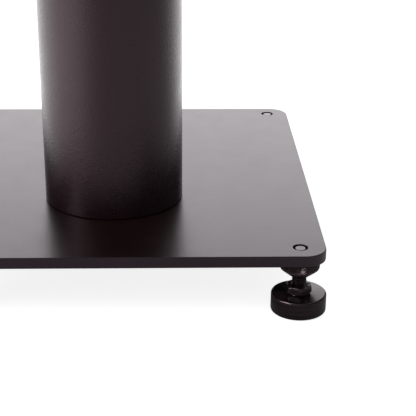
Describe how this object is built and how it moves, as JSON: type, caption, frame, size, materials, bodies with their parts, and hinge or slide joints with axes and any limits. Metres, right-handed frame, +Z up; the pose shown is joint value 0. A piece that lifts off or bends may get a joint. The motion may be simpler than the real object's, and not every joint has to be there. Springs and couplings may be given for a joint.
{
  "type": "speaker stand",
  "caption": "Free-standing loudspeaker stand: round column set off centre on a rounded base plate, padded top plate, levelling feet with knurled lock collars.",
  "frame": {"origin": "on the floor, under the middle of the base plate", "axes": "+Z up along the column, -Y towards the near edge of the base plate in the picture, +X to the viewer's right"},
  "size_m": [0.297, 0.33, 0.602],
  "materials": {
    "plate_paint": "satin",
    "column_paint": "satin",
    "black_steel": "satin",
    "foot_black": "satin",
    "foot_gloss": "gloss",
    "bare_steel": "satin",
    "black_rubber": "matte"
  },
  "bodies": {
    "root": {"base_plate": "plate_paint", "column_tube": "column_paint", "lower_end_disc": "bare_steel", "upper_end_disc": "bare_steel", "base_screws": "black_steel", "top_plate": "plate_paint", "top_screws": "black_steel", "speaker_pads": "black_rubber"},
    "front_left_foot": {"front_left_puck": "foot_gloss", "front_left_floor_pad": "black_rubber"},
    "front_left_screw": {"front_left_stud": "black_steel", "front_left_jam_nut": "black_steel", "front_left_retaining_ring": "bare_steel"},
    "front_left_collar": {"front_left_lock_collar": "foot_black"},
    "front_right_foot": {"front_right_puck": "foot_gloss", "front_right_floor_pad": "black_rubber"},
    "front_right_screw": {"front_right_stud": "black_steel", "front_right_jam_nut": "black_steel", "front_right_retaining_ring": "bare_steel"},
    "front_right_collar": {"front_right_lock_collar": "foot_black"},
    "rear_left_foot": {"rear_left_puck": "foot_gloss", "rear_left_floor_pad": "black_rubber"},
    "rear_left_screw": {"rear_left_stud": "black_steel", "rear_left_jam_nut": "black_steel", "rear_left_retaining_ring": "bare_steel"},
    "rear_left_collar": {"rear_left_lock_collar": "foot_black"},
    "rear_right_foot": {"rear_right_puck": "foot_gloss", "rear_right_floor_pad": "black_rubber"},
    "rear_right_screw": {"rear_right_stud": "black_steel", "rear_right_jam_nut": "black_steel", "rear_right_retaining_ring": "bare_steel"},
    "rear_right_collar": {"rear_right_lock_collar": "foot_black"}
  },
  "joints": [
    {"name": "front_left_level", "type": "slide", "parent": "root", "child": "front_left_foot", "axis": [0, 0, 1], "range_m": [-0.003, 0.003]},
    {"name": "front_left_turn", "type": "hinge", "parent": "front_left_foot", "child": "front_left_screw", "pos_m": [-0.1295, -0.146, 0.0142], "axis": [0, 0, 1], "range_deg": [-720, 720]},
    {"name": "front_left_unlock", "type": "slide", "parent": "root", "child": "front_left_collar", "axis": [0, 0, 1], "range_m": [-0.003, 0]},
    {"name": "front_right_level", "type": "slide", "parent": "root", "child": "front_right_foot", "axis": [0, 0, 1], "range_m": [-0.003, 0.003]},
    {"name": "front_right_turn", "type": "hinge", "parent": "front_right_foot", "child": "front_right_screw", "pos_m": [0.1295, -0.146, 0.0142], "axis": [0, 0, 1], "range_deg": [-720, 720]},
    {"name": "front_right_unlock", "type": "slide", "parent": "root", "child": "front_right_collar", "axis": [0, 0, 1], "range_m": [-0.003, 0]},
    {"name": "rear_left_level", "type": "slide", "parent": "root", "child": "rear_left_foot", "axis": [0, 0, 1], "range_m": [-0.003, 0.003]},
    {"name": "rear_left_turn", "type": "hinge", "parent": "rear_left_foot", "child": "rear_left_screw", "pos_m": [-0.1295, 0.146, 0.0142], "axis": [0, 0, 1], "range_deg": [-720, 720]},
    {"name": "rear_left_unlock", "type": "slide", "parent": "root", "child": "rear_left_collar", "axis": [0, 0, 1], "range_m": [-0.003, 0]},
    {"name": "rear_right_level", "type": "slide", "parent": "root", "child": "rear_right_foot", "axis": [0, 0, 1], "range_m": [-0.003, 0.003]},
    {"name": "rear_right_turn", "type": "hinge", "parent": "rear_right_foot", "child": "rear_right_screw", "pos_m": [0.1295, 0.146, 0.0142], "axis": [0, 0, 1], "range_deg": [-720, 720]},
    {"name": "rear_right_unlock", "type": "slide", "parent": "root", "child": "rear_right_collar", "axis": [0, 0, 1], "range_m": [-0.003, 0]}
  ],
  "couplings": [
    {"joint": "front_left_turn", "follows": "front_left_level", "rad_per_m": 4188.8},
    {"joint": "front_right_turn", "follows": "front_right_level", "rad_per_m": 4188.8},
    {"joint": "rear_left_turn", "follows": "rear_left_level", "rad_per_m": 4188.8},
    {"joint": "rear_right_turn", "follows": "rear_right_level", "rad_per_m": 4188.8}
  ]
}
